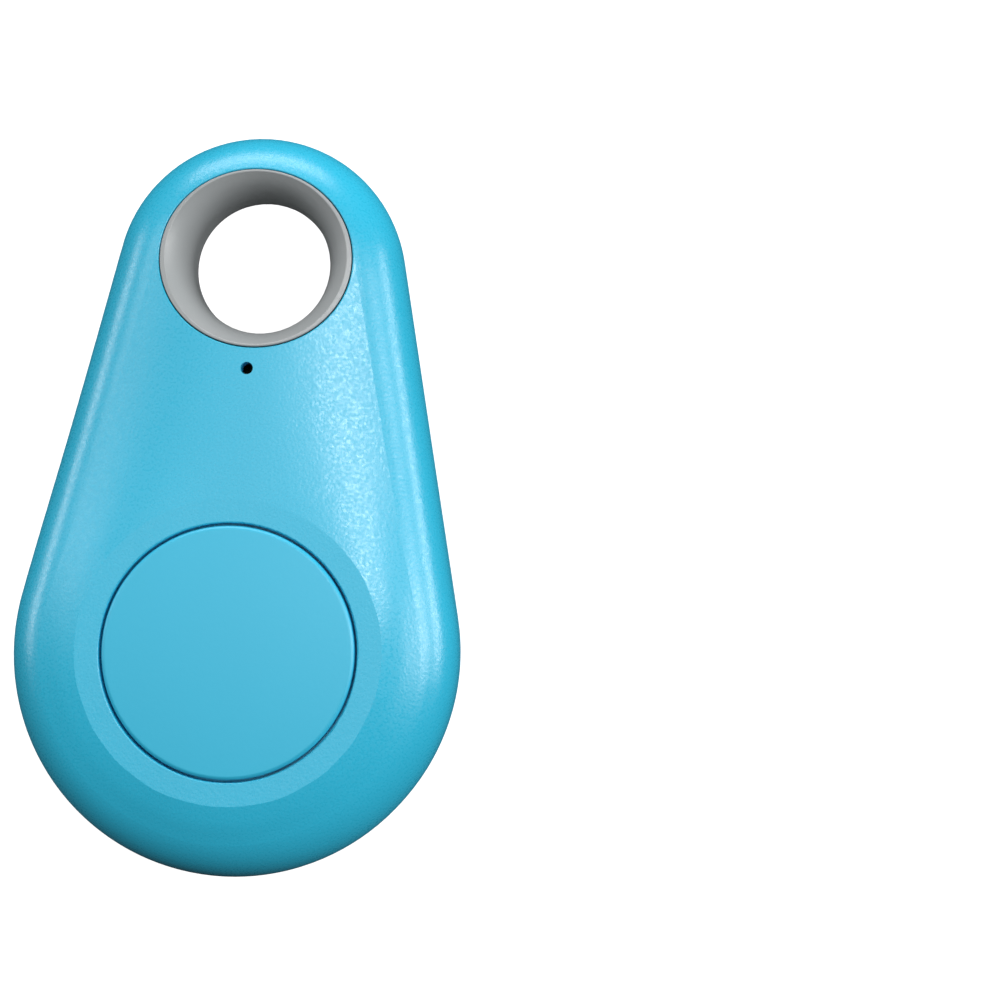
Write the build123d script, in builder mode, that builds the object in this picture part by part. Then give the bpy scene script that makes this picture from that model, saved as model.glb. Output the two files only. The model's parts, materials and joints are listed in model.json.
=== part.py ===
from build123d import *
import os
from math import asin, atan, atan2, cos, degrees, exp, hypot, radians, sin, tanh

# Key-finder tag: a teardrop housing of two shells with a push button in front, a
# coin-cell cover that turns to lock at the back, and a lined keyring hole.
# Millimetres.  +Z comes out of the front, +Y runs to the keyring hole, and the
# origin is under the middle of the tag, level with the lowest point of its back.

# ---- driving dimensions ----------------------------------------------------
LENGTH = 52.0
BODY_R = 15.6  # round end that holds the coin cell
HEAD_R = 10.2  # round end that holds the keyring hole
TOP_Z = 11.0  # face of the button
PARTING_Z = 5.5
WALL = 1.3
SLIDE_GAP = 0.05  # between pieces that are only laid together
BELOW = -1.0  # a level clear below the tag, where cuts from the back start

LAND_Z = 10.9  # flat face around the button
LAND_R = 10.5
FRONT_CROWN_SPAN = 70.0  # outside the flat face the front falls by (distance from spine)^2 / span
BACK_CROWN_SPAN = 80.0
FALL = 0.02  # how fast both faces drop towards the keyring end
FRONT_EDGE_R = 4.0
BACK_EDGE_R = 3.6
SEAM_CHAMFER = 0.1
LIP_FILLET = 0.12  # rounding of the moulded edges at each opening
RING_FILLET = 0.08  # the same, around the liner
LINER_RIM_FILLET = 0.07  # outer edge of the liner, beside the shells

BUTTON_R = 8.65
BUTTON_GAP = 0.18
BUTTON_SKIN = 1.0
BUTTON_EDGE_R = 0.3
FLANGE_R = 9.9
FLANGE_T = 0.6
NIB_R = 0.9  # under the button; it follows the switch's stem into the plate

RING_Y = 16.85
RIM_RX, RIM_RY = 6.65, 6.25  # outside of the liner
FLARE_RX, FLARE_RY = 6.47, 6.08  # mouth of the liner
WAIST_R = 4.84
WAIST_LENGTH = 1.6
LINER_GAP = 0.07
LINER_PROUD = 0.04
BOSS_WALL = 0.65
COLLAR = 0.3  # collar at mid-height, held between the shells
COLLAR_T = 0.8
POCKET_END_Y = 17.0

PINHOLE_R = 0.43
PINHOLE_Y = 9.1

COVER_R = 11.8
COVER_GAP = 0.12
COVER_T = 1.25
COVER_FLAT_R = 7.5
COVER_RIM_RISE = 0.5  # the cover is domed by this much outside its flat middle
SKIRT_R, SKIRT_INNER_R = 10.95, 10.25
SKIRT_TOP = 2.75
SKIRT_GAP = 0.1
TAB_R = 11.75
TAB_BASE = 2.12
TAB_ANGLE, NOTCH_ANGLE = 20.0, 24.0
TAB_BEARINGS = (90.0, 210.0, 330.0)
UNLOCK_ANGLE = 27.0  # turn from locked to open
LEDGE_R = 13.0
LEDGE_BASE, LEDGE_TOP = 1.35, 2.05
SLOT_WIDTH, SLOT_LENGTH = 2.1, 12.0
SLOT_END_DEPTH, SLOT_DEPTH = 0.28, 0.75
SLOT_FILLET = 0.15
GATE_R, GATE_Z = 0.6, 0.5  # round gate mark in the floor of the slot
GATE_REACH = 5.2

MARK_DEPTH = 0.14
MARK_DRAFT = 0.2  # how far a mark narrows from its rim to its floor
DOT_R = 0.55
HOUSING_DOT_REACH, COVER_DOT_REACH = 13.9, 10.3
OPEN_BEARING, LOCKED_BEARING, COVER_DOT_BEARING = 9.0, 36.0, 38.7
ARROW_START_BEARING, ARROW_TIP_BEARING = 14.9, 30.3
ARROW_REACH = 13.85
ARROW_SHAFT = 0.78
ARROW_HEAD_LENGTH, ARROW_HEAD_WIDTH = 0.9, 1.45

CELL_R, CELL_T = 10.0, 3.2
CELL_Z = 1.3
CAN_T = 0.25
BOARD_Z, BOARD_T = 5.7, 0.8
BOARD_INSET = 1.75
BOARD_END_Y = 9.6
POST_R, PIN_R, PIN_HOLE_R = 0.8, 0.45, 0.55
LEAF_T = 0.15

# ---- shared places ---------------------------------------------------------
BODY_Y = BODY_R - LENGTH / 2
HEAD_Y = LENGTH / 2 - HEAD_R
BOARD_TOP = BOARD_Z + BOARD_T
BODY_AXIS = Axis((0, BODY_Y, 0), (0, 0, 1))
BODY_SECTION = Plane.XZ.offset(-BODY_Y)  # local x is the radius, local y the height
STANDING = (Align.CENTER, Align.CENTER, Align.MIN)
POST_REACH, POST_BEARINGS = 13.35, (140.0, 220.0)  # lower posts, from the +Y side
NECK_POST = (9.6, 2.6)
POST_ROOT_Z, FRONT_POST_ROOT_Z = 2.0, 9.3


def from_body(reach, bearing):
    """The point at a reach from the cell's centre, with the bearing turned from +Y towards -X."""
    turn = radians(bearing)
    return (-reach * sin(turn), BODY_Y + reach * cos(turn))


def post_places():
    """Where the four board posts stand."""
    lower = [from_body(POST_REACH, bearing) for bearing in POST_BEARINGS]
    return [*lower, NECK_POST, (-NECK_POST[0], NECK_POST[1])]


# ---- body form ---------------------------------------------------------------
def teardrop(inset, z):
    """Two round ends joined by their outer tangents, drawn in by the inset, at a height."""
    body_r, head_r = BODY_R - inset, HEAD_R - inset
    lean = asin((BODY_R - HEAD_R) / (HEAD_Y - BODY_Y))
    low_x, low_y = body_r * cos(lean), BODY_Y + body_r * sin(lean)
    high_x, high_y = head_r * cos(lean), HEAD_Y + head_r * sin(lean)
    with BuildSketch(Plane.XY.offset(z)) as drop:
        with BuildLine():
            Line((low_x, low_y), (high_x, high_y))
            ThreePointArc((high_x, high_y), (0, HEAD_Y + head_r), (-high_x, high_y))
            Line((-high_x, high_y), (-low_x, low_y))
            ThreePointArc((-low_x, low_y), (0, BODY_Y - body_r), (low_x, low_y))
        make_face()
    return drop.sketch


def from_spine(x, y):
    """Distance from the line that joins the centres of the two round ends."""
    return hypot(x, max(BODY_Y - y, 0, y - HEAD_Y))


def front_height(x, y):
    """The crown of the front: level with the flat face at its rim and falling away outside."""
    settle_length = 6.0
    ease, ease_length = 0.5, 0.9  # share of the slope that comes in gently, and over what length
    beyond = hypot(x, y - BODY_Y) - LAND_R
    lag = min(beyond, 0) + ease_length * (1 - exp(-max(beyond, 0) / ease_length))
    settled = 1 - exp(-(beyond - ease * lag) / settle_length)
    return LAND_Z - FALL * beyond - settled * from_spine(x, y) ** 2 / FRONT_CROWN_SPAN


def back_height(x, y):
    """The crown of the back: it takes up the cover's dome at its rim and flattens along the neck."""
    shoulder, shoulder_length, settle_length = 0.4, 2.5, 12.0
    beyond = hypot(x, y - BODY_Y) - COVER_R
    settled = 1 - exp(-beyond / settle_length)
    rise = COVER_RIM_RISE + FALL * beyond + shoulder * tanh(beyond / shoulder_length)
    return rise + settled * from_spine(x, y) ** 2 / BACK_CROWN_SPAN


def crown(height, shift=0.0):
    """A smooth face through a height function, moved up by the shift."""
    half_width, half_length = 18.0, 28.0
    columns, rows = 24, 36
    across = [half_width * (2 * i / columns - 1) for i in range(columns + 1)]
    along = [half_length * (2 * i / rows - 1) for i in range(rows + 1)]
    points = [[Vector(x, y, height(x, y) + shift) for y in along] for x in across]
    return Face.make_surface_from_array_of_points(points, tol=0.002)


def pebble(inset):
    """The outside of the tag, or its inside with the wall as the inset."""
    clear = 3.0
    with BuildPart() as form:
        extrude(teardrop(inset, -clear), amount=TOP_Z + 2 * clear)
        split(bisect_by=crown(front_height, -inset), keep=Keep.BOTTOM)
        split(bisect_by=crown(back_height, inset), keep=Keep.TOP)
        rims = form.edges().filter_by(lambda edge: edge.bounding_box().size.Z < clear)
        fillet(rims.filter_by(lambda edge: edge.center().Z > PARTING_Z), FRONT_EDGE_R - inset)
        rims = form.edges().filter_by(GeomType.BSPLINE)
        low = rims.filter_by(lambda edge: edge.bounding_box().max.Z < PARTING_Z)
        fillet(low, BACK_EDGE_R - inset)
        split(bisect_by=Plane.XY.offset(LAND_Z - inset), keep=Keep.BOTTOM)
    return form.part


def ring_ellipse(margin, z):
    """The outside of the liner, grown by a margin, at a height."""
    with BuildSketch(Plane.XY.offset(z)) as ellipse:
        with Locations((0, RING_Y)):
            Ellipse(RIM_RX + margin, RIM_RY + margin)
    return ellipse.sketch


BEHIND_POCKETS = Plane.XZ.offset(-POCKET_END_Y)

outside = pebble(0.0)

with BuildPart() as cavity:
    add(pebble(WALL))
    extrude(ring_ellipse(LINER_GAP + BOSS_WALL, 0), amount=TOP_Z, mode=Mode.SUBTRACT)
    split(bisect_by=BEHIND_POCKETS, keep=Keep.TOP)


def tongue(outer_inset, low_z, high_z):
    """The band inside the seam that locates one shell in the other."""
    with BuildPart() as band:
        extrude(teardrop(outer_inset, low_z), amount=high_z - low_z)
        extrude(teardrop(WALL, low_z), amount=high_z - low_z, mode=Mode.SUBTRACT)
        split(bisect_by=BEHIND_POCKETS, keep=Keep.TOP)
    return band.part


def rims_of(piece, width):
    """The closed edges of a piece that are as wide as a hole."""
    return piece.edges().filter_by(lambda edge: abs(edge.bounding_box().size.X - width) < SLIDE_GAP)


# ---- front shell -------------------------------------------------------------
TONGUE_INSET, TONGUE_DEPTH = 0.75, 0.8

with BuildPart() as front_shell:
    add(outside)
    split(bisect_by=Plane.XY.offset(PARTING_Z), keep=Keep.TOP)
    seam = front_shell.faces().sort_by(Axis.Z)[0]
    chamfer(seam.edges(), SEAM_CHAMFER)
    add(cavity.part, mode=Mode.SUBTRACT)
    with Locations(*[(*place, BOARD_TOP) for place in post_places()]):
        Cylinder(POST_R, FRONT_POST_ROOT_Z - BOARD_TOP, align=STANDING)
    with Locations((0, BODY_Y, PARTING_Z)):
        Cylinder(BUTTON_R + BUTTON_GAP, TOP_Z, align=STANDING, mode=Mode.SUBTRACT)
    land_edges = front_shell.edges().filter_by(GeomType.CIRCLE).group_by(Axis.Z)[-1]
    fillet(land_edges.sort_by(SortBy.RADIUS)[0], LIP_FILLET)
    with Locations((0, PINHOLE_Y, PARTING_Z + 1)):
        Cylinder(PINHOLE_R, TOP_Z, align=STANDING, mode=Mode.SUBTRACT)
    extrude(ring_ellipse(LINER_GAP, PARTING_Z), amount=TOP_Z, mode=Mode.SUBTRACT)
    fillet(rims_of(front_shell, 2 * (RIM_RX + LINER_GAP)).sort_by(Axis.Z)[-1], RING_FILLET)
    collar_room = COLLAR_T / 2 + SLIDE_GAP
    extrude(ring_ellipse(COLLAR + SLIDE_GAP, PARTING_Z), amount=collar_room, mode=Mode.SUBTRACT)
    add(tongue(TONGUE_INSET, PARTING_Z - TONGUE_DEPTH, PARTING_Z))

# ---- rear shell ----------------------------------------------------------------


def dot(place, surface_z):
    """The solid to cut for a round mark with a drafted wall."""
    with BuildPart() as mark:
        with Locations((*place, surface_z)):
            Cone(DOT_R, DOT_R - MARK_DRAFT, MARK_DEPTH, align=STANDING)
        lowest = mark.faces().sort_by(Axis.Z)[0]
        extrude(lowest, amount=MARK_DEPTH)
    return mark.part


def arrow_outline(inset, z):
    """An arrow that points from the open dot to the locked dot, drawn in by the inset."""
    start_x, start_y = from_body(ARROW_REACH, ARROW_START_BEARING)
    tip_x, tip_y = from_body(ARROW_REACH, ARROW_TIP_BEARING)
    length = hypot(tip_x - start_x, tip_y - start_y)
    heading = degrees(atan2(tip_y - start_y, tip_x - start_x))
    neck, half, barb = length - ARROW_HEAD_LENGTH, ARROW_SHAFT / 2, ARROW_HEAD_WIDTH / 2
    lower_side = [(0, -half), (neck, -half), (neck, -barb)]
    upper_side = [(neck, barb), (neck, half), (0, half)]
    with BuildSketch(Plane.XY.offset(z)) as outline:
        with Locations(Location((start_x, start_y, 0), (0, 0, heading))):
            Polygon(*lower_side, (length, 0), *upper_side, align=None)
        if inset:
            offset(amount=-inset, kind=Kind.INTERSECTION)
    return outline.sketch


with BuildPart() as marks:
    for bearing in (OPEN_BEARING, LOCKED_BEARING):
        place = from_body(HOUSING_DOT_REACH, bearing)
        add(dot(place, back_height(*place)))
    middle = from_body(ARROW_REACH, (ARROW_START_BEARING + ARROW_TIP_BEARING) / 2)
    arrow_z = back_height(*middle)
    loft([arrow_outline(0, arrow_z), arrow_outline(MARK_DRAFT, arrow_z + MARK_DEPTH)], ruled=True)
    extrude(arrow_outline(0, arrow_z - MARK_DEPTH), amount=MARK_DEPTH)

with BuildPart() as notches:
    with BuildSketch(Plane.XY.offset(LEDGE_BASE)):
        with Locations((0, BODY_Y)):
            Circle(TAB_R + SKIRT_GAP)
            for bearing in TAB_BEARINGS:
                spare = 120 - NOTCH_ANGLE
                edge = bearing - UNLOCK_ANGLE + NOTCH_ANGLE / 2
                with BuildLine() as wedge:
                    span = CenterArc((0, 0), 2 * TAB_R, edge, spare)
                    Line((0, 0), span @ 0)
                    Line(span @ 1, (0, 0))
                make_face(wedge.edges(), mode=Mode.SUBTRACT)
    extrude(amount=LEDGE_TOP - LEDGE_BASE)

with BuildPart() as rear_shell:
    add(outside)
    split(bisect_by=Plane.XY.offset(PARTING_Z), keep=Keep.BOTTOM)
    seam = rear_shell.faces().sort_by(Axis.Z)[-1]
    chamfer(seam.edges(), SEAM_CHAMFER)
    add(cavity.part, mode=Mode.SUBTRACT)
    groove_depth = TONGUE_DEPTH + SLIDE_GAP
    add(tongue(TONGUE_INSET - SLIDE_GAP, PARTING_Z - groove_depth, PARTING_Z), mode=Mode.SUBTRACT)
    with Locations((0, BODY_Y, LEDGE_BASE)):
        Cylinder(LEDGE_R, LEDGE_TOP - LEDGE_BASE, align=STANDING)
    with Locations(*[(*place, POST_ROOT_Z) for place in post_places()]):
        Cylinder(POST_R, BOARD_Z - POST_ROOT_Z, align=STANDING)
        Cylinder(PIN_R, BOARD_TOP - SLIDE_GAP - POST_ROOT_Z, align=STANDING)
    with Locations((0, BODY_Y, BELOW)):
        Cylinder(COVER_R + COVER_GAP, LEDGE_BASE - BELOW, align=STANDING, mode=Mode.SUBTRACT)
        Cylinder(SKIRT_R + SKIRT_GAP, PARTING_Z, align=STANDING, mode=Mode.SUBTRACT)
    add(notches.part, mode=Mode.SUBTRACT)
    extrude(ring_ellipse(LINER_GAP, BELOW), amount=TOP_Z, mode=Mode.SUBTRACT)
    fillet(rims_of(rear_shell, 2 * (COVER_R + COVER_GAP)).sort_by(Axis.Z)[0], LIP_FILLET)
    fillet(rims_of(rear_shell, 2 * (RIM_RX + LINER_GAP)).sort_by(Axis.Z)[0], RING_FILLET)
    collar_floor = PARTING_Z - collar_room
    extrude(ring_ellipse(COLLAR + SLIDE_GAP, collar_floor), amount=TOP_Z, mode=Mode.SUBTRACT)
    add(marks.part, mode=Mode.SUBTRACT)

# ---- keyring liner -----------------------------------------------------------
NECK_RIM_Y, TIP_RIM_Y = RING_Y - RIM_RY, RING_Y + RIM_RY


def flare(height, direction):
    """One mouth of the liner's hole, from its waist out past the crowned face."""
    stations, sweep, past = 6, 50.0, 1.2
    neck, tip = height(0, NECK_RIM_Y), height(0, TIP_RIM_Y)
    slope = degrees(atan((tip - neck) / (TIP_RIM_Y - NECK_RIM_Y)))
    waist_z = PARTING_Z + direction * WAIST_LENGTH / 2
    with BuildPart() as mouth:
        for station in range(stations + 1):
            turned = radians(sweep * past * station / stations)
            climb = sin(turned) / sin(radians(sweep))
            growth = (1 - cos(turned)) / (1 - cos(radians(sweep)))
            z = waist_z + ((neck + tip) / 2 - waist_z) * climb
            tilted = Plane((0, RING_Y, z)).rotated((slope * past * station / stations, 0, 0))
            with BuildSketch(tilted):
                Ellipse(
                    WAIST_R + (FLARE_RX - WAIST_R) * growth,
                    WAIST_R + (FLARE_RY - WAIST_R) * growth,
                )
        loft()
    return mouth.part


with BuildPart() as keyring_liner:
    extrude(ring_ellipse(0, BELOW), amount=TOP_Z - BELOW)
    split(bisect_by=crown(front_height, LINER_PROUD), keep=Keep.BOTTOM)
    split(bisect_by=crown(back_height, -LINER_PROUD), keep=Keep.TOP)
    extrude(ring_ellipse(COLLAR, PARTING_Z - COLLAR_T / 2), amount=COLLAR_T)
    with Locations((0, RING_Y, PARTING_Z)):
        Cylinder(WAIST_R, WAIST_LENGTH, mode=Mode.SUBTRACT)
    add(flare(front_height, 1), mode=Mode.SUBTRACT)
    add(flare(back_height, -1), mode=Mode.SUBTRACT)
    rims = rims_of(keyring_liner, 2 * RIM_RX).sort_by(Axis.Z)
    fillet([rims[0], rims[-1]], LINER_RIM_FILLET)
    mouths = keyring_liner.edges().filter_by(
        lambda edge: 2 * FLARE_RY < edge.bounding_box().size.X < 2 * FLARE_RX
    ).sort_by(Axis.Z)
    fillet([mouths[0], mouths[-1]], LINER_RIM_FILLET)

# ---- button ------------------------------------------------------------------
CEILING_Z = LAND_Z - WALL
FLANGE_Z = CEILING_Z - SLIDE_GAP - FLANGE_T
PLUNGER_TOP = 8.0

with BuildPart() as button:
    with Locations((0, BODY_Y, FLANGE_Z)):
        Cylinder(BUTTON_R, TOP_Z - FLANGE_Z, align=STANDING)
        Cylinder(FLANGE_R, FLANGE_T, align=STANDING)
        hollow = TOP_Z - BUTTON_SKIN - FLANGE_Z
        Cylinder(BUTTON_R - BUTTON_SKIN, hollow, align=STANDING, mode=Mode.SUBTRACT)
    with Locations((0, BODY_Y, PLUNGER_TOP)):
        Cylinder(NIB_R, TOP_Z - BUTTON_SKIN - PLUNGER_TOP, align=STANDING)
    fillet(button.edges().group_by(Axis.Z)[-1], BUTTON_EDGE_R)

# ---- battery cover -----------------------------------------------------------
with BuildPart() as battery_cover:
    with BuildSketch(BODY_SECTION):
        with BuildLine():
            Line((0, COVER_T), (0, 0))
            flat = Line((0, 0), (COVER_FLAT_R, 0))
            TangentArc(flat @ 1, (COVER_R, COVER_RIM_RISE), tangent=(1, 0))
            Polyline((COVER_R, COVER_RIM_RISE), (COVER_R, COVER_T), (0, COVER_T))
        make_face()
    revolve(axis=BODY_AXIS)
    fillet(battery_cover.edges().filter_by(GeomType.CIRCLE).group_by(Axis.Z)[-2], LIP_FILLET)
    with Locations((0, BODY_Y, COVER_T)):
        Cylinder(SKIRT_R, SKIRT_TOP - COVER_T, align=STANDING)
    with BuildSketch(Plane.XY.offset(TAB_BASE)):
        for bearing in TAB_BEARINGS:
            with BuildLine(Plane.XY.offset(TAB_BASE)) as tab:
                span = CenterArc((0, BODY_Y), TAB_R, bearing - TAB_ANGLE / 2, TAB_ANGLE)
                Line((0, BODY_Y), span @ 0)
                Line(span @ 1, (0, BODY_Y))
            make_face(tab.edges())
    extrude(amount=SKIRT_TOP - TAB_BASE)
    with Locations((0, BODY_Y, COVER_T)):
        Cylinder(SKIRT_INNER_R, SKIRT_TOP, align=STANDING, mode=Mode.SUBTRACT)
    with BuildSketch(Plane.YZ.offset(-SLOT_WIDTH / 2)):
        with BuildLine():
            near, far = BODY_Y - SLOT_LENGTH / 2, BODY_Y + SLOT_LENGTH / 2
            Polyline((near, SLOT_END_DEPTH), (near, BELOW), (far, BELOW), (far, SLOT_END_DEPTH))
            ThreePointArc((far, SLOT_END_DEPTH), (BODY_Y, SLOT_DEPTH), (near, SLOT_END_DEPTH))
        make_face()
    extrude(amount=SLOT_WIDTH, mode=Mode.SUBTRACT)
    slot_rim = battery_cover.edges().filter_by(GeomType.LINE).group_by(Axis.Z)[0]
    fillet(slot_rim, SLOT_FILLET)
    with Locations((0, BODY_Y - GATE_REACH, BELOW)):
        Cylinder(GATE_R, GATE_Z - BELOW, align=STANDING, mode=Mode.SUBTRACT)
    beyond_flat = (COVER_DOT_REACH - COVER_FLAT_R) / (COVER_R - COVER_FLAT_R)
    dot_place = from_body(COVER_DOT_REACH, COVER_DOT_BEARING)
    add(dot(dot_place, COVER_RIM_RISE * beyond_flat**2), mode=Mode.SUBTRACT)

# ---- coin cell ---------------------------------------------------------------
GASKET_R, CAP_R = CELL_R - CAN_T, 8.95
CAN_TOP, CELL_TOP = CELL_Z + CELL_T - 0.2, CELL_Z + CELL_T
CATHODE_TOP, SEPARATOR_TOP = 3.35, 3.45
ACTIVE_R = 8.4


def cup(outer_r, low_z, high_z, open_up):
    """A thin round cup about the cell's axis, open upwards or downwards."""
    with BuildPart() as pressed:
        with Locations((0, BODY_Y, low_z)):
            Cylinder(outer_r, high_z - low_z, align=STANDING)
        bottom = pressed.edges().group_by(Axis.Z)[0 if open_up else -1]
        fillet(bottom, CAN_T)
        shift = CAN_T if open_up else 0
        with Locations((0, BODY_Y, low_z + shift)):
            height = high_z - low_z - CAN_T
            Cylinder(outer_r - CAN_T, height, align=STANDING, mode=Mode.SUBTRACT)
    return pressed.part


def ring(outer_r, inner_r, low_z, high_z, y=BODY_Y):
    """A flat-ended ring, or a disc where the inner radius is 0."""
    with BuildPart() as turned:
        with Locations((0, y, low_z)):
            Cylinder(outer_r, high_z - low_z, align=STANDING)
            if inner_r:
                Cylinder(inner_r, high_z - low_z, align=STANDING, mode=Mode.SUBTRACT)
    return turned.part


with BuildPart() as coin_cell_can:
    add(cup(CELL_R, CELL_Z, CAN_TOP, open_up=True))

with BuildPart() as coin_cell_cap:
    add(cup(CAP_R, CELL_Z + 3 * CAN_T, CELL_TOP, open_up=False))

with BuildPart() as coin_cell_gasket:
    add(ring(GASKET_R, CAP_R, CELL_Z + CAN_T, CAN_TOP))

with BuildPart() as coin_cell_cathode:
    add(ring(ACTIVE_R, 0, CELL_Z + CAN_T, CATHODE_TOP))

with BuildPart() as coin_cell_separator:
    add(ring(ACTIVE_R, 0, CATHODE_TOP, SEPARATOR_TOP))

with BuildPart() as coin_cell_anode:
    add(ring(ACTIVE_R, 0, SEPARATOR_TOP, CELL_TOP - CAN_T))

# ---- contacts ----------------------------------------------------------------
LEAF_Z = BOARD_Z - LEAF_T / 2  # middle of a leaf that is soldered under the board
LEAF_BEND_R, LEAF_HALF_WIDTH = 0.4, 1.5
LEAF_REACH = LEAF_T / 2 + 0.02  # from the cell to the middle of a leaf that bears on it
POSITIVE_ROOT, POSITIVE_BEND_Z, POSITIVE_END_Z = 13.0, 3.5, 3.0
NEGATIVE_ROOT, NEGATIVE_BEND = 6.5, 4.2

with BuildPart() as positive_contact:
    with BuildSketch(BODY_SECTION):
        with BuildLine():
            wiping = CELL_R + LEAF_REACH
            route = [
                (-POSITIVE_ROOT, LEAF_Z),
                (-wiping - 0.7, LEAF_Z),
                (-wiping, POSITIVE_BEND_Z),
                (-wiping - 0.3, POSITIVE_END_Z),
            ]
            FilletPolyline(*route, radius=LEAF_BEND_R)
        trace(line_width=LEAF_T)
    extrude(amount=LEAF_HALF_WIDTH, both=True)

with BuildPart() as negative_contact:
    with BuildSketch(Plane.YZ):
        with BuildLine():
            pressing = CELL_TOP + LEAF_REACH
            route = [
                (BODY_Y + NEGATIVE_ROOT, LEAF_Z),
                (BODY_Y + NEGATIVE_BEND, LEAF_Z),
                (BODY_Y + 0.8, pressing),
                (BODY_Y - 0.8, pressing),
                (BODY_Y - 1.8, pressing + 0.35),
            ]
            FilletPolyline(*route, radius=LEAF_BEND_R)
        trace(line_width=LEAF_T)
    extrude(amount=LEAF_HALF_WIDTH, both=True)

# ---- circuit board and what is on it -----------------------------------------
with BuildPart() as circuit_board:
    extrude(teardrop(BOARD_INSET, BOARD_Z), amount=BOARD_T)
    split(bisect_by=Plane.XZ.offset(-BOARD_END_Y), keep=Keep.TOP)
    with Locations(*[(*place, BOARD_Z) for place in post_places()]):
        Cylinder(PIN_HOLE_R, BOARD_T, align=STANDING, mode=Mode.SUBTRACT)


CHIP_SIZE, CHIP_EDGE_R = (5.0, 5.0, 0.85), 0.2
CRYSTAL_SIZE, CRYSTAL_EDGE_R = (3.2, 2.5, 0.7), 0.3
CAPACITOR_SIZE, RESISTOR_SIZE, LED_SIZE = (1.6, 0.8, 0.8), (1.6, 0.8, 0.45), (1.6, 0.8, 0.6)
CAPACITOR_X, CAPACITOR_TOP, CAPACITOR_PITCH = 10.6, BODY_Y + 6.0, 2.2
RESISTOR_X, RESISTOR_TOP, RESISTOR_PITCH = -5.2, BODY_Y + 4.4, 1.8
ANTENNA_LEGS, ANTENNA_PITCH, ANTENNA_REACH = 6, 1.5, 2.6
ANTENNA_WIDTH, ANTENNA_T, ANTENNA_Y = 0.5, 0.05, BODY_Y - 12.4


def packages(places, size, edge_r=0.0):
    """Box-shaped components of one size, stood on the board."""
    with BuildPart() as placed:
        with Locations(*[(x, y, BOARD_TOP) for x, y in places]):
            Box(*size, align=STANDING)
        if edge_r:
            fillet(placed.edges().filter_by(Axis.Z), edge_r)
    return placed.part


with BuildPart() as radio_chip:
    add(packages([(6.2, BODY_Y + 3.6)], CHIP_SIZE, CHIP_EDGE_R))

with BuildPart() as crystal:
    add(packages([(6.4, BODY_Y - 2.6)], CRYSTAL_SIZE, CRYSTAL_EDGE_R))

with BuildPart() as chip_capacitors:
    row = [(CAPACITOR_X, CAPACITOR_TOP - CAPACITOR_PITCH * i) for i in range(5)]
    add(packages([*row, (4.8, BODY_Y - 5.4)], CAPACITOR_SIZE))

with BuildPart() as chip_resistors:
    row = [(RESISTOR_X, RESISTOR_TOP - RESISTOR_PITCH * i) for i in range(5)]
    add(packages(row, RESISTOR_SIZE))

with BuildPart() as status_led:
    add(packages([(0, PINHOLE_Y - 0.35)], LED_SIZE))

with BuildPart() as antenna_trace:
    with BuildSketch(Plane.XY.offset(BOARD_TOP)):
        with BuildLine():
            corners = []
            for leg in range(ANTENNA_LEGS):
                x = (leg - ANTENNA_LEGS / 2) * ANTENNA_PITCH
                low, high = ANTENNA_Y, ANTENNA_Y + ANTENNA_REACH
                turns = (high, low) if leg % 2 else (low, high)
                corners += [(x, turn) for turn in turns]
            Polyline(*corners)
        trace(line_width=ANTENNA_WIDTH)
    extrude(amount=ANTENNA_T)

# ---- tact switch under the button --------------------------------------------
SWITCH_SIZE, SWITCH_TOP, PLATE_T = 4.5, 7.6, 0.15
WELL_R, WELL_Z = 1.65, 6.9
STEM_R, COLLAR_R = 1.0, 1.45
STEM_COLLAR_Z, STEM_COLLAR_T = 7.3, 0.25
DOME_R, DOME_T, DOME_RISE = 1.5, 0.08, 0.3
LEG_SIZE, LEG_SPACING = (0.8, 0.6, 0.15), 3.0

with BuildPart() as tact_switch_base:
    with Locations((0, BODY_Y, BOARD_TOP)):
        Box(SWITCH_SIZE, SWITCH_SIZE, SWITCH_TOP - BOARD_TOP, align=STANDING)
    with Locations((0, BODY_Y, WELL_Z)):
        Cylinder(WELL_R, SWITCH_TOP - WELL_Z, align=STANDING, mode=Mode.SUBTRACT)
    with Locations((0, BODY_Y, BOARD_TOP)):
        with GridLocations(SWITCH_SIZE + LEG_SIZE[0], LEG_SPACING, 2, 2):
            Box(*LEG_SIZE, align=STANDING)

with BuildPart() as tact_switch_plate:
    with Locations((0, BODY_Y, SWITCH_TOP)):
        Box(SWITCH_SIZE, SWITCH_SIZE, PLATE_T, align=STANDING)
        Cylinder(STEM_R + 0.1, PLATE_T, align=STANDING, mode=Mode.SUBTRACT)

with BuildPart() as tact_switch_dome:
    with BuildSketch(BODY_SECTION):
        with BuildLine():
            ThreePointArc(
                (-DOME_R, WELL_Z + DOME_T / 2),
                (0, WELL_Z + DOME_RISE),
                (DOME_R, WELL_Z + DOME_T / 2),
            )
        trace(line_width=DOME_T)
        with Locations((-2 * DOME_R, WELL_Z)):
            Rectangle(4 * DOME_R, 4 * DOME_R, mode=Mode.SUBTRACT)
    revolve(axis=BODY_AXIS)

with BuildPart() as tact_switch_plunger:
    with Locations((0, BODY_Y, STEM_COLLAR_Z)):
        Cylinder(STEM_R, PLUNGER_TOP - STEM_COLLAR_Z, align=STANDING)
        Cylinder(COLLAR_R, STEM_COLLAR_T, align=STANDING)

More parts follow.
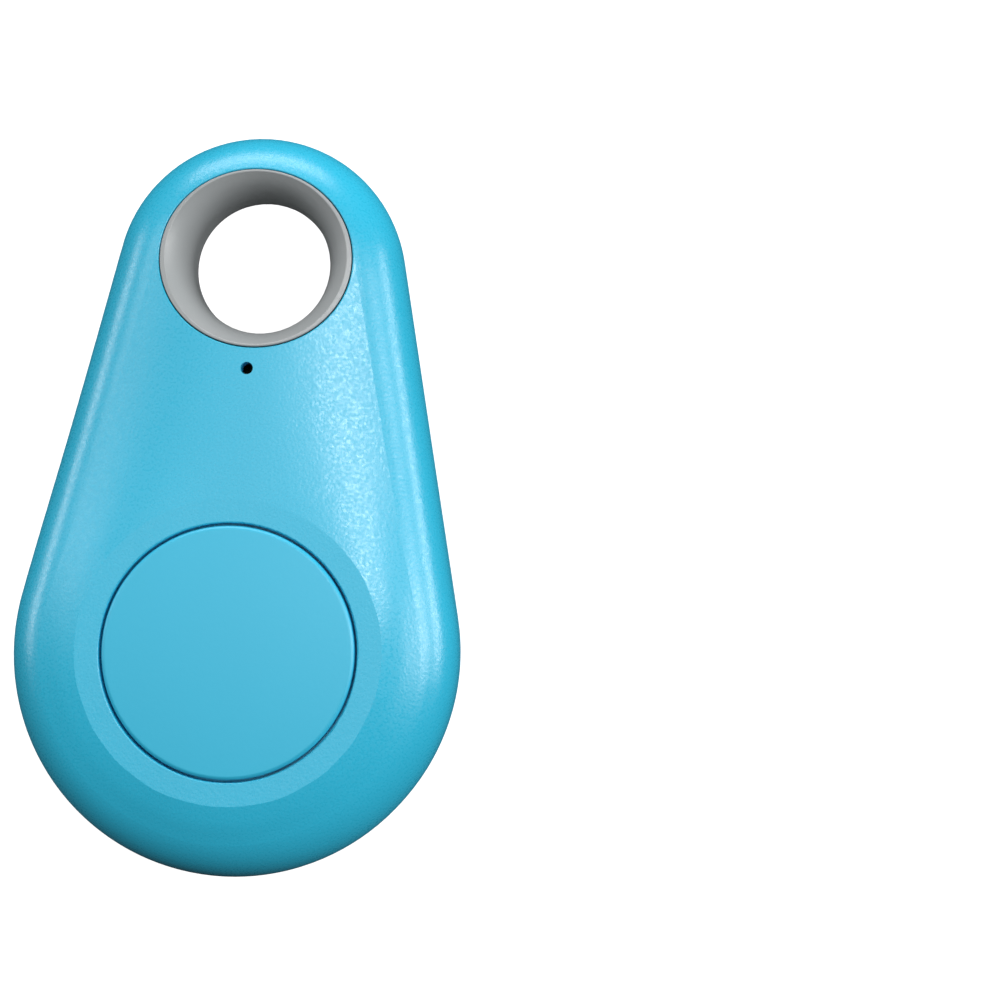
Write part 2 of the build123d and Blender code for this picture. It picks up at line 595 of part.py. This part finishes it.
# ---- buzzer in the neck ------------------------------------------------------
BUZZER_Y, BUZZER_SIZE = 3.9, 7.5
BUZZER_TOP, BUZZER_BASE_T, BUZZER_WALL = 8.8, 0.4, 0.4
BUZZER_FLOOR = BOARD_TOP + BUZZER_BASE_T
DIAPHRAGM_Z, DIAPHRAGM_R = 8.2, 3.3
MAGNET_R, MAGNET_BORE_R, COIL_R, CORE_R = 3.25, 2.5, 2.35, 1.0
MAGNET_TOP, COIL_TOP = DIAPHRAGM_Z, 7.9
DIAPHRAGM_T, CASE_CORNER_R = 0.1, 0.3
PORT_R, PORT_Y = 0.6, BUZZER_Y + 2.3

with BuildPart() as buzzer_base:
    with Locations((0, BUZZER_Y, BOARD_TOP)):
        Box(BUZZER_SIZE, BUZZER_SIZE, BUZZER_BASE_T, align=STANDING)

with BuildPart() as buzzer_case:
    with Locations((0, BUZZER_Y, BUZZER_FLOOR)):
        Box(BUZZER_SIZE, BUZZER_SIZE, BUZZER_TOP - BUZZER_FLOOR, align=STANDING)
        inner_height = BUZZER_TOP - BUZZER_FLOOR - BUZZER_WALL
        Cylinder(DIAPHRAGM_R + 0.05, inner_height, align=STANDING, mode=Mode.SUBTRACT)
    corners = buzzer_case.edges().filter_by(Axis.Z).filter_by(GeomType.LINE)
    fillet(corners, CASE_CORNER_R)
    with Locations((0, PORT_Y, DIAPHRAGM_Z)):
        Cylinder(PORT_R, TOP_Z, align=STANDING, mode=Mode.SUBTRACT)

with BuildPart() as buzzer_magnet:
    add(ring(MAGNET_R, MAGNET_BORE_R, BUZZER_FLOOR, MAGNET_TOP, y=BUZZER_Y))

with BuildPart() as buzzer_coil:
    add(ring(COIL_R, CORE_R, BUZZER_FLOOR, COIL_TOP, y=BUZZER_Y))

with BuildPart() as buzzer_core:
    add(ring(CORE_R, 0, BUZZER_FLOOR, COIL_TOP, y=BUZZER_Y))

with BuildPart() as buzzer_diaphragm:
    add(ring(DIAPHRAGM_R, 0, DIAPHRAGM_Z, DIAPHRAGM_Z + DIAPHRAGM_T, y=BUZZER_Y))

# ---- export ------------------------------------------------------------------
PIECES = {
    "front_shell": front_shell,
    "rear_shell": rear_shell,
    "keyring_liner": keyring_liner,
    "button": button,
    "battery_cover": battery_cover,
    "coin_cell_can": coin_cell_can,
    "coin_cell_cap": coin_cell_cap,
    "coin_cell_gasket": coin_cell_gasket,
    "coin_cell_cathode": coin_cell_cathode,
    "coin_cell_separator": coin_cell_separator,
    "coin_cell_anode": coin_cell_anode,
    "positive_contact": positive_contact,
    "negative_contact": negative_contact,
    "circuit_board": circuit_board,
    "radio_chip": radio_chip,
    "crystal": crystal,
    "chip_capacitors": chip_capacitors,
    "chip_resistors": chip_resistors,
    "status_led": status_led,
    "antenna_trace": antenna_trace,
    "tact_switch_base": tact_switch_base,
    "tact_switch_plate": tact_switch_plate,
    "tact_switch_dome": tact_switch_dome,
    "tact_switch_plunger": tact_switch_plunger,
    "buzzer_base": buzzer_base,
    "buzzer_case": buzzer_case,
    "buzzer_magnet": buzzer_magnet,
    "buzzer_coil": buzzer_coil,
    "buzzer_core": buzzer_core,
    "buzzer_diaphragm": buzzer_diaphragm,
}

os.makedirs("parts", exist_ok=True)
for name, piece in PIECES.items():
    piece.part.label = name
    export_step(piece.part, f"parts/{name}.step")
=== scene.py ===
import json
import math

import bpy
import numpy as np
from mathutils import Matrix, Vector


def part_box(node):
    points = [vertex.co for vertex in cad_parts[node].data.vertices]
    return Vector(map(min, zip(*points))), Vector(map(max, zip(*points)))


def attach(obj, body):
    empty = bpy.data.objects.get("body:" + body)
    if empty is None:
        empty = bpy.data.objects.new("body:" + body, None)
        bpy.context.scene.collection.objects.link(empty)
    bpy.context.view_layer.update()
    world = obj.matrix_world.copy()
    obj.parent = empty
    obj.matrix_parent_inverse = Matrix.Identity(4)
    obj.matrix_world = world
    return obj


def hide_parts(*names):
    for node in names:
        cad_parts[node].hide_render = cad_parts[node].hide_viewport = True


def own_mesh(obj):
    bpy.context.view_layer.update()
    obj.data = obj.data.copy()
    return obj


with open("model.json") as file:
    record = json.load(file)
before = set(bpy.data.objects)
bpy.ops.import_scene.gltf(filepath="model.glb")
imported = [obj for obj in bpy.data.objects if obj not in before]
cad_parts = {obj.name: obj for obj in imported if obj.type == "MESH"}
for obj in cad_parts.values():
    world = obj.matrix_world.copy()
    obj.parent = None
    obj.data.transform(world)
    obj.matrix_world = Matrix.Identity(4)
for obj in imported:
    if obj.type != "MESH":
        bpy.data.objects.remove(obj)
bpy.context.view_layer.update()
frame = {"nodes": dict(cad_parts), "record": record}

# A teardrop key-finder tag lying on its back, with the button up. The CAD meshes stay, with
# a material each, apart from the button and the switch's snap dome, which are turned here.
# Lengths of those two, of the room and of the camera's place are millimetres; lights and
# textures are in metres.
MM = 0.001


# ---- material helpers --------------------------------------------------------
class Nodes:
    """A new node material, with short ways to add to it."""

    def __init__(self, name):
        self.material = bpy.data.materials.new(name)
        self.material.use_nodes = True
        self.tree = self.material.node_tree
        self.shader = self.tree.nodes["Principled BSDF"]
        self.place = self.tree.nodes.new("ShaderNodeTexCoord").outputs["Object"]

    def add(self, kind, **sockets):
        """A node whose inputs are set by name, with _ for a space; outputs are linked."""
        made = self.tree.nodes.new(kind)
        for name, value in sockets.items():
            self.feed(made.inputs[name.replace("_", " ")], value)
        return made

    def feed(self, socket, value):
        """Links an output to a socket, or sets the socket's own value."""
        if isinstance(value, bpy.types.NodeSocket):
            self.tree.links.new(value, socket)
        else:
            socket.default_value = value

    def stretched(self, scale):
        """Object coordinates, scaled along each axis."""
        return self.add("ShaderNodeMapping", Vector=self.place, Scale=scale).outputs["Vector"]

    def noise(self, size, detail=2.0, roughness=0.5, stretch=(1, 1, 1)):
        """Noise with features of a size in metres."""
        made = self.add(
            "ShaderNodeTexNoise",
            Vector=self.stretched(stretch),
            Scale=1 / size,
            Detail=detail,
            Roughness=roughness,
        )
        return made.outputs["Fac"]

    def pits(self, size):
        """Rounded cells of a size in metres, as spark erosion leaves."""
        made = self.add("ShaderNodeTexVoronoi", Vector=self.place, Scale=1 / size, Randomness=1.0)
        made.feature = "SMOOTH_F1"
        made.inputs["Smoothness"].default_value = 0.6
        return made.outputs["Distance"]

    def ramp(self, source, low, high, low_at=0.3, high_at=0.7):
        """The source turned into a value from low to high."""
        made = self.add("ShaderNodeMapRange", Value=source)
        made.inputs["From Min"].default_value = low_at
        made.inputs["From Max"].default_value = high_at
        made.inputs["To Min"].default_value = low
        made.inputs["To Max"].default_value = high
        return made.outputs["Result"]

    def colours(self, source, low, high, low_at=0.3, high_at=0.7):
        """The source turned into a colour from low to high."""
        made = self.add("ShaderNodeValToRGB", Fac=source)
        for element, at, colour in zip(made.color_ramp.elements, (low_at, high_at), (low, high)):
            element.position = at
            element.color = (*colour, 1)
        return made.outputs["Color"]

    def bump(self, height, depth, normal=None):
        """A bump of a depth in metres, on top of another where one is given."""
        made = self.add("ShaderNodeBump", Height=height, Distance=depth)
        if normal is not None:
            self.feed(made.inputs["Normal"], normal)
        return made.outputs["Normal"]

    def finish(self, **sockets):
        """Sets the shader's sockets by name and returns the material."""
        for name, value in sockets.items():
            self.feed(self.shader.inputs[name.replace("_", " ")], value)
        return self.material


def scaled(colour, factor):
    """A colour made darker or lighter by a factor."""
    return tuple(channel * factor for channel in colour)


# ---- materials ---------------------------------------------------------------
BLUE = (0.037, 0.590, 0.865)
GREY = (0.43, 0.455, 0.462)


def moulded(name, colour, grain, depth, roughness, spread=0.07, vary=0.03, specular=0.85):
    """Moulded plastic: a spark texture of a grain size, faint flow shade and wavering gloss."""
    n = Nodes(name)
    fine = n.noise(grain, detail=3.0, roughness=0.65)
    flow = n.noise(0.011, detail=2.0, stretch=(1, 0.5, 1))
    tint = n.colours(flow, scaled(colour, 1 - vary), scaled(colour, 1 + vary))
    normal = n.bump(n.pits(grain), depth, n.bump(fine, 0.6 * depth))
    gloss = n.ramp(n.noise(grain, detail=1.0), roughness - spread, roughness + spread)
    return n.finish(
        Base_Color=tint, Roughness=gloss, Normal=normal, Specular_IOR_Level=specular
    )


def metal(name, colour, roughness, stretch):
    """Rolled or drawn metal with fine lines along one direction and dull clouds."""
    n = Nodes(name)
    lines = n.noise(0.00012, detail=2.0, stretch=stretch)
    cloud = n.noise(0.002, detail=3.0)
    tint = n.colours(cloud, scaled(colour, 0.9), colour)
    gloss = n.ramp(lines, roughness - 0.08, roughness + 0.1)
    return n.finish(
        Base_Color=tint, Roughness=gloss, Normal=n.bump(lines, 0.000003), Metallic=1.0
    )


def speckled(name, low, high, size, depth, roughness):
    """A pressed, woven or fired body whose colour and surface vary in small specks."""
    n = Nodes(name)
    specks = n.noise(size, detail=4.0, roughness=0.7)
    return n.finish(
        Base_Color=n.colours(specks, low, high),
        Roughness=n.ramp(specks, roughness - 0.08, roughness + 0.08),
        Normal=n.bump(specks, depth),
    )


def solder_mask():
    """Green solder mask over a glass weave, with slightly raised copper runs under it."""
    n = Nodes("board")
    runs = n.add("ShaderNodeTexBrick", Vector=n.place, Scale=420.0, Mortar_Size=0.03)
    weave = n.noise(0.0004, detail=1.0, stretch=(1, 4, 1))
    fill = runs.outputs["Fac"]
    tint = n.colours(fill, (0.012, 0.13, 0.045), (0.02, 0.2, 0.07), 0.2, 0.8)
    normal = n.bump(fill, 0.00002, n.bump(weave, 0.000004))
    return n.finish(Base_Color=tint, Roughness=n.ramp(weave, 0.25, 0.4), Normal=normal)


def make_materials():
    """One material for each slot of the record."""
    return {
        "blue_shell": moulded("blue_shell", BLUE, 0.00020, 0.000007, 0.30),
        "blue_button": moulded("blue_button", BLUE, 0.00022, 0.000002, 0.42, 0.03, 0.015),
        "blue_cover": moulded("blue_cover", BLUE, 0.00028, 0.000005, 0.42, 0.05),
        "grey_liner": moulded("grey_liner", GREY, 0.00025, 0.000002, 0.38, 0.04),
        "cell_steel": metal("cell_steel", (0.72, 0.72, 0.70), 0.28, (1, 30, 1)),
        "cell_gasket": moulded("cell_gasket", (0.1, 0.1, 0.11), 0.0002, 0.000004, 0.5),
        "cell_cathode": speckled(
            "cell_cathode", (0.02, 0.02, 0.02), (0.07, 0.07, 0.07), 0.0002, 0.00002, 0.85
        ),
        "cell_separator": speckled(
            "cell_separator", (0.7, 0.7, 0.67), (0.9, 0.9, 0.87), 0.00015, 0.00001, 0.9
        ),
        "cell_anode": metal("cell_anode", (0.62, 0.63, 0.66), 0.45, (20, 1, 1)),
        "contact_metal": metal("contact_metal", (0.78, 0.76, 0.70), 0.3, (1, 20, 1)),
        "board": solder_mask(),
        "chip_body": speckled(
            "chip_body", (0.02, 0.02, 0.022), (0.04, 0.04, 0.042), 0.0001, 0.000006, 0.55
        ),
        "crystal_can": metal("crystal_can", (0.8, 0.78, 0.72), 0.25, (15, 1, 1)),
        "capacitor_body": speckled(
            "capacitor_body", (0.42, 0.3, 0.18), (0.6, 0.45, 0.3), 0.00012, 0.000005, 0.5
        ),
        "resistor_body": speckled(
            "resistor_body", (0.03, 0.03, 0.035), (0.07, 0.07, 0.08), 0.00012, 0.000004, 0.35
        ),
        "led_body": speckled(
            "led_body", (0.8, 0.8, 0.7), (0.92, 0.92, 0.85), 0.0003, 0.000003, 0.25
        ),
        "copper": metal("copper", (0.75, 0.38, 0.2), 0.35, (1, 12, 1)),
        "switch_body": moulded("switch_body", (0.03, 0.03, 0.034), 0.00015, 0.000004, 0.5),
        "switch_plunger": moulded("switch_plunger", (0.7, 0.67, 0.58), 0.00015, 0.000003, 0.4),
        "buzzer_body": moulded("buzzer_body", (0.035, 0.035, 0.04), 0.00018, 0.000006, 0.55),
        "magnet": speckled("magnet", (0.06, 0.06, 0.07), (0.13, 0.13, 0.14), 0.0002, 0.00001, 0.6),
    }


def dress_nodes(materials):
    """Gives each carried-over CAD node the material of its slot in the record."""
    for part in frame["record"]["subparts"]:
        mesh = frame["nodes"][part["node"]].data
        mesh.materials.clear()
        mesh.materials.append(materials[part["material_slot"]])


# ---- button --------------------------------------------------------------------
SEGMENTS = 288
BUTTON_EDGE_R = 0.3
BUTTON_CAP_R = 8.65
BUTTON_HOLLOW_R = 7.65
BUTTON_SKIN = 1.0
FLANGE_T = 0.6
NIB_R = 0.9
LAND_STEP = 2.05  # from the foot of the flange to the button's face


def arc(centre, radius, start, end, steps=8):
    """Points of an arc in the radius and height plane, between two angles in degrees."""
    turns = [math.radians(start + (end - start) * step / steps) for step in range(steps + 1)]
    return [(centre[0] + radius * math.cos(t), centre[1] + radius * math.sin(t)) for t in turns]


def lathe(name, profile, x, y, material, sharp_degrees=30):
    """A closed turned body about an upright axis, whose profile starts and ends on it."""
    rings = profile[1:-1]
    vertices = [(x, y, profile[0][1]), (x, y, profile[-1][1])]
    for radius, z in rings:
        for step in range(SEGMENTS):
            turn = math.tau * step / SEGMENTS
            vertices.append((x + radius * math.cos(turn), y + radius * math.sin(turn), z))
    faces = []
    last = 2 + (len(rings) - 1) * SEGMENTS
    for step in range(SEGMENTS):
        after = (step + 1) % SEGMENTS
        faces.append((0, 2 + step, 2 + after))
        faces.append((1, last + after, last + step))
        for ring in range(len(rings) - 1):
            low, high = 2 + ring * SEGMENTS, 2 + (ring + 1) * SEGMENTS
            faces.append((low + step, high + step, high + after, low + after))
    mesh = bpy.data.meshes.new(name)
    mesh.from_pydata([Vector(v) * MM for v in vertices], [], faces)
    mesh.polygons.foreach_set("use_smooth", [True] * len(mesh.polygons))
    mesh.set_sharp_from_angle(angle=math.radians(sharp_degrees))
    mesh.materials.append(material)
    made = bpy.data.objects.new(name, mesh)
    bpy.context.scene.collection.objects.link(made)
    return made


def button(material):
    """The pressed cap, with its rounded edge, the flange under the land and the nib below."""
    low, high = (np.array(corner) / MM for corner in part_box("button"))
    x, y = (low[:2] + high[:2]) / 2
    flange_r = (high[0] - low[0]) / 2
    top = high[2]
    foot = top - LAND_STEP
    edge = BUTTON_EDGE_R
    shoulder = foot + FLANGE_T
    profile = [(0, top)]
    profile += arc((BUTTON_CAP_R - edge, top - edge), edge, 90, 0)
    profile += [(BUTTON_CAP_R, shoulder), (flange_r, shoulder), (flange_r, foot)]
    profile += [(BUTTON_HOLLOW_R, foot), (BUTTON_HOLLOW_R, top - BUTTON_SKIN)]
    profile += [(NIB_R, top - BUTTON_SKIN), (NIB_R, low[2]), (0, low[2])]
    made = lathe("button_cap", profile, x, y, material)
    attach(made, "button")
    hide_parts("button")


# ---- switch dome ---------------------------------------------------------------
DOME_R, DOME_T, DOME_RISE = 1.5, 0.08, 0.3


def switch_dome(material):
    """The snap dome under the switch's plunger, a thin curved shell carried with the housing."""
    low, high = (np.array(corner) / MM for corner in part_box("tact_switch_dome"))
    x, y = (low[:2] + high[:2]) / 2
    sagitta = DOME_RISE - DOME_T / 2
    bend_r = (DOME_R**2 + sagitta**2) / (2 * sagitta)
    centre = (0, high[2] - DOME_T / 2 - bend_r)
    end = math.degrees(math.acos(DOME_R / bend_r))
    profile = arc(centre, bend_r + DOME_T / 2, 90, end, 12)
    profile += arc(centre, bend_r - DOME_T / 2, end, 90, 12)
    made = lathe("switch_dome", profile, x, y, material)
    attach(made, "housing")
    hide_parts("tact_switch_dome")
    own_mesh(made)


# ---- stage, light and camera ---------------------------------------------------
LIGHT_DISTANCE = 0.5


def floor():
    """A pale floor that curves up into a closed round room; it glows softly and lights nothing."""
    n = Nodes("floor")
    tone = n.noise(0.4, detail=1.0)
    glow = n.finish(
        Base_Color=n.colours(tone, (0.6, 0.6, 0.6), (0.62, 0.62, 0.62)),
        Roughness=0.9,
        Specular_IOR_Level=0.0,
        Emission_Color=(1, 1, 1, 1),
        Emission_Strength=0.93,
    )
    glow.cycles.emission_sampling = "NONE"
    room_r, room_height, curve_r = 3000, 3000, 1000
    cove = arc((room_r - curve_r, curve_r), curve_r, -90, 0)
    profile = [(0, 0), *cove, (room_r, room_height), (0, room_height)]
    made = lathe("floor", profile, 0, 0, glow)
    made.visible_diffuse = False
    made.visible_glossy = False
    made.visible_shadow = False


def softbox(name, azimuth, elevation, width, height, watts):
    """A rectangular light half a metre away that faces the tag, hidden from the camera."""
    data = bpy.data.lights.new(name, "AREA")
    data.shape = "RECTANGLE"
    data.size, data.size_y = width, height
    data.energy = watts
    made = bpy.data.objects.new(name, data)
    turn, rise = math.radians(azimuth), math.radians(elevation)
    flat = math.cos(rise)
    away = Vector((flat * math.cos(turn), flat * math.sin(turn), math.sin(rise)))
    made.location = away * LIGHT_DISTANCE
    made.rotation_euler = (-away).to_track_quat("-Z", "Y").to_euler()
    made.visible_camera = False
    bpy.context.scene.collection.objects.link(made)


def camera():
    """Above the front, tilted a little, with the tag in the left half of the frame."""
    data = bpy.data.cameras.new("camera")
    data.lens = 79.62
    data.clip_start = 0.01
    made = bpy.data.objects.new("camera", data)
    made.location = (22.03 * MM, -7.61 * MM, 161.13 * MM)
    made.rotation_euler = [math.radians(angle) for angle in (3.38, 1.38, 3.38)]
    bpy.context.scene.collection.objects.link(made)
    bpy.context.scene.camera = made


def surroundings(strength):
    """Even white light from all round, behind the softboxes."""
    made = bpy.data.worlds.new("surroundings")
    made.use_nodes = True
    made.node_tree.nodes["Background"].inputs["Color"].default_value = (1, 1, 1, 1)
    made.node_tree.nodes["Background"].inputs["Strength"].default_value = strength
    bpy.context.scene.world = made


def light_scene():
    surroundings(0.035)
    softbox("top_bank", azimuth=98, elevation=20, width=0.5, height=0.22, watts=1.36)
    softbox("left_low", azimuth=170, elevation=11, width=0.25, height=0.12, watts=0.42)
    softbox("left_high", azimuth=160, elevation=46, width=0.2, height=0.2, watts=0.27)
    softbox("right_low", azimuth=11, elevation=12, width=0.25, height=0.14, watts=0.72)
    softbox("right_high", azimuth=7, elevation=42, width=0.2, height=0.2, watts=0.84)
    softbox("sheen", azimuth=43, elevation=71.5, width=0.08, height=0.12, watts=0.44)
    softbox("overhead", azimuth=150, elevation=82, width=0.25, height=0.25, watts=0.22)
    bpy.context.scene.view_settings.view_transform = "Standard"


materials = make_materials()
dress_nodes(materials)
button(materials["blue_button"])
switch_dome(materials["contact_metal"])
floor()
light_scene()
camera()
